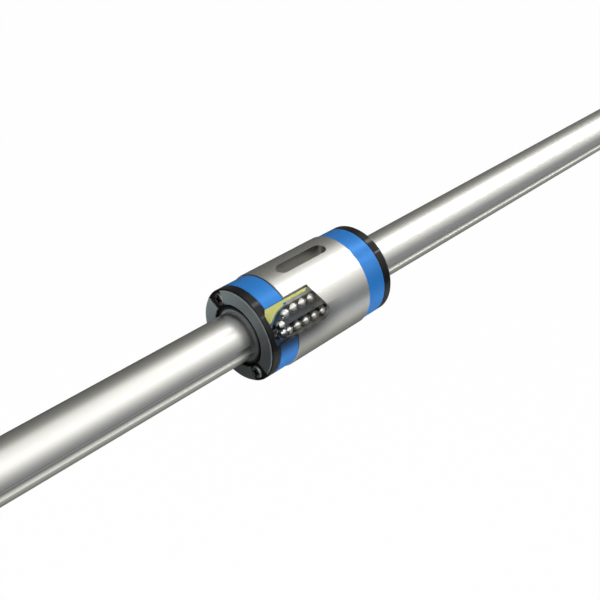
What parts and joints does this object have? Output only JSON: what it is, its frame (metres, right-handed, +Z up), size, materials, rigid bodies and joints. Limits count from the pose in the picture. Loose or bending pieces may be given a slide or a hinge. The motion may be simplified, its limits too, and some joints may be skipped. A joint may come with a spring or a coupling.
{
  "type": "ball spline shaft",
  "caption": "Grooved round shaft with a cylindrical recirculating ball nut that slides along it and carries torque through a keyway.",
  "frame": {"origin": "middle of the nut, on the shaft's axis; at rest the nut is at mid-shaft", "axes": "+X along the shaft, away from the cut-away end of the nut; +Z up through the keyway; the cut-away side faces -Y"},
  "size_m": [0.22, 0.016, 0.016],
  "materials": {
    "ground_shaft_steel": "ground and polished bearing steel",
    "ground_sleeve_steel": "ground bearing steel",
    "ball_steel": "polished bearing balls",
    "blue_resin": "moulded acetal resin, satin",
    "black_resin": "moulded glass-filled nylon",
    "dark_resin": "moulded nylon, slate grey",
    "yellow_felt": "oil-holding pressed fibre pad",
    "grey_rubber": "moulded nitrile rubber",
    "grey_resin": "satin grey plate",
    "screw_steel": "plated pan-head machine screws"
  },
  "bodies": {
    "shaft": {"spline_shaft": "ground_shaft_steel"},
    "nut": {"far_loaded_balls": "ball_steel", "far_return_balls": "ball_steel", "far_turning_balls": "ball_steel", "front_end_cap": "blue_resin", "front_far_face_plate": "grey_resin", "front_far_lube_pad": "yellow_felt", "front_lower_screw": "screw_steel", "front_near_face_plate": "grey_resin", "front_near_lube_pad": "yellow_felt", "front_seal_holder": "black_resin", "front_seal_lip": "grey_rubber", "front_upper_screw": "screw_steel", "lower_retainer": "dark_resin", "near_loaded_balls": "ball_steel", "near_return_balls": "ball_steel", "near_turning_balls": "ball_steel", "outer_sleeve": "ground_sleeve_steel", "rear_end_cap": "blue_resin", "rear_far_face_plate": "grey_resin", "rear_far_lube_pad": "yellow_felt", "rear_lower_screw": "screw_steel", "rear_near_face_plate": "grey_resin", "rear_near_lube_pad": "yellow_felt", "rear_seal_holder": "black_resin", "rear_seal_lip": "grey_rubber", "rear_upper_screw": "screw_steel", "upper_retainer": "dark_resin"}
  },
  "joints": [
    {"name": "nut_travel", "type": "slide", "parent": "shaft", "child": "nut", "axis": [1, 0, 0], "range_m": [-0.085, 0.085]}
  ]
}
